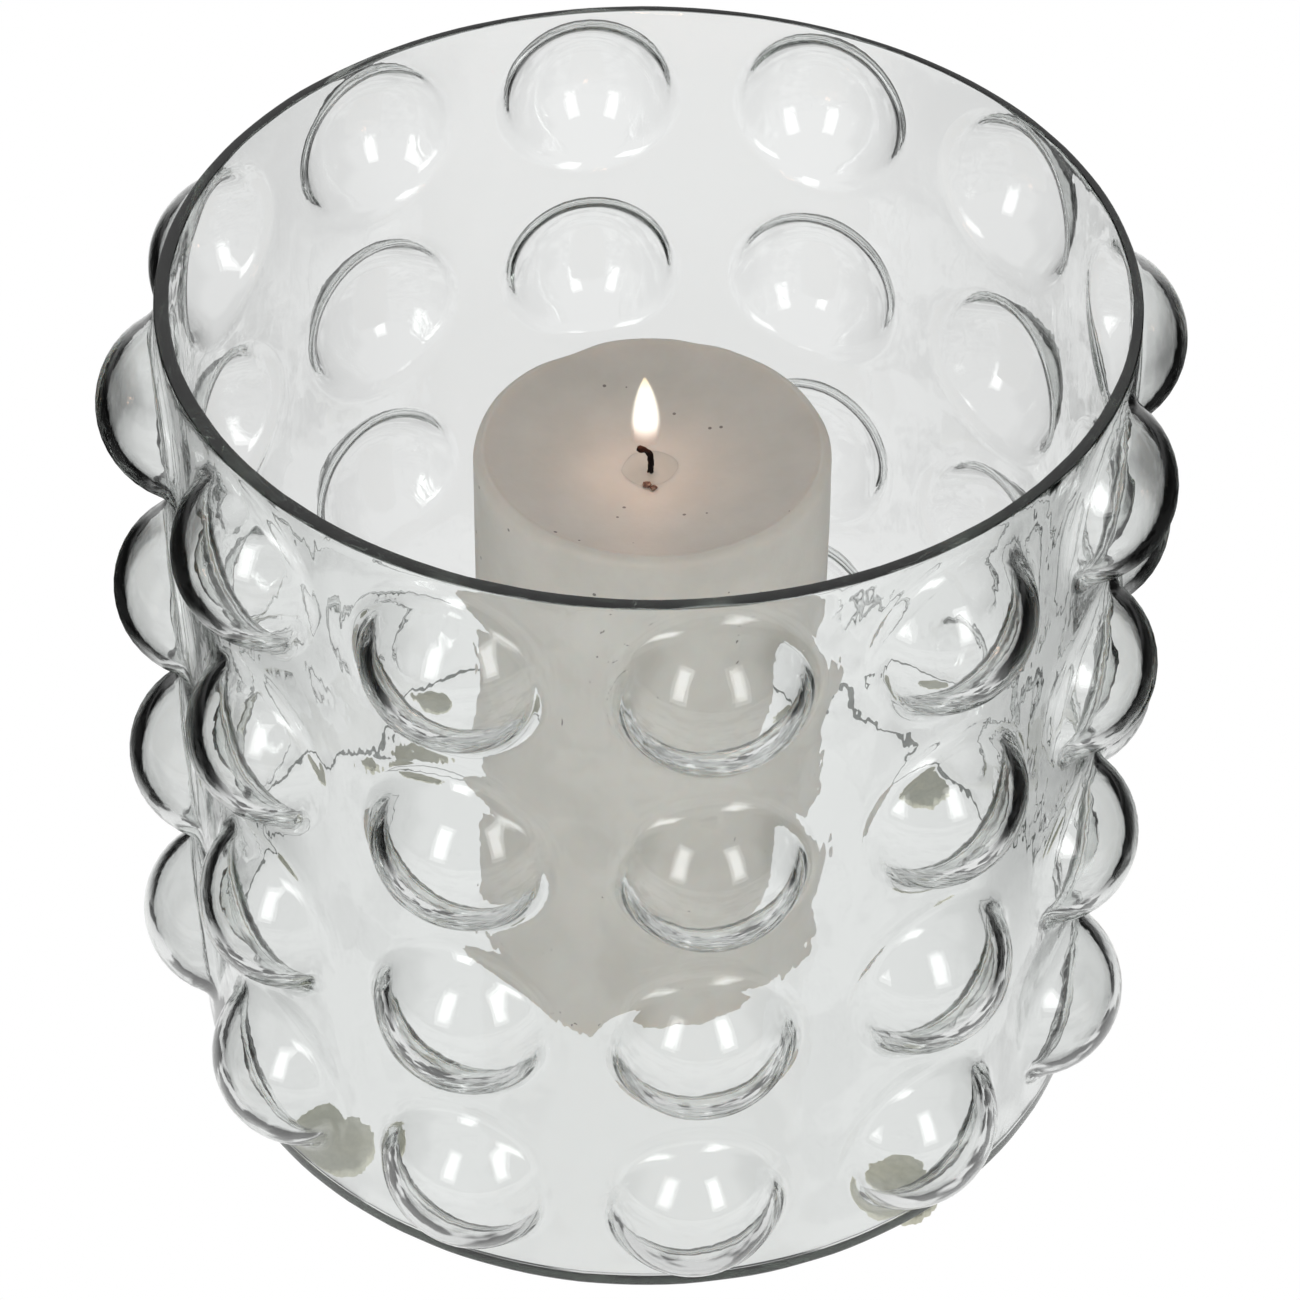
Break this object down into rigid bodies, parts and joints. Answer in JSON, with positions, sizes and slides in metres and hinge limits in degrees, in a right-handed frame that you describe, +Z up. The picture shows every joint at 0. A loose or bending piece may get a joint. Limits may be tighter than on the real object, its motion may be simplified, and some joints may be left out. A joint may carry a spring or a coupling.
{
  "type": "hurricane candle lantern",
  "caption": "Clear blown-glass hurricane cylinder with a puffed bubble wall, small pads under its base and a loose pillar candle inside.",
  "frame": {"origin": "on the glass's axis, at the surface that the four pads rest on", "axes": "+Z up along the glass's axis, -Y towards the front, through the middle of one column of bubbles"},
  "size_m": [0.2112, 0.2112, 0.1838],
  "materials": {
    "clear_glass": "clear, fire-polished, slightly wavy",
    "pad_foam": "matt grey-olive soft foam",
    "white_wax": "greyish white wax, waxy sheen, translucent",
    "charred_wick": "braided cotton, charred at the tip",
    "tinned_steel": "satin tinned sheet"
  },
  "bodies": {
    "glass_body": {"bubble_glass": "clear_glass", "pad_front_left": "pad_foam", "pad_front_right": "pad_foam", "pad_back_right": "pad_foam", "pad_back_left": "pad_foam"},
    "candle": {"candle_wax": "white_wax", "wick": "charred_wick", "wick_sustainer": "tinned_steel"}
  },
  "joints": [
    {"name": "candle_lift", "type": "slide", "parent": "glass_body", "child": "candle", "axis": [0, 0, 1], "range_m": [0, 0.2]}
  ]
}
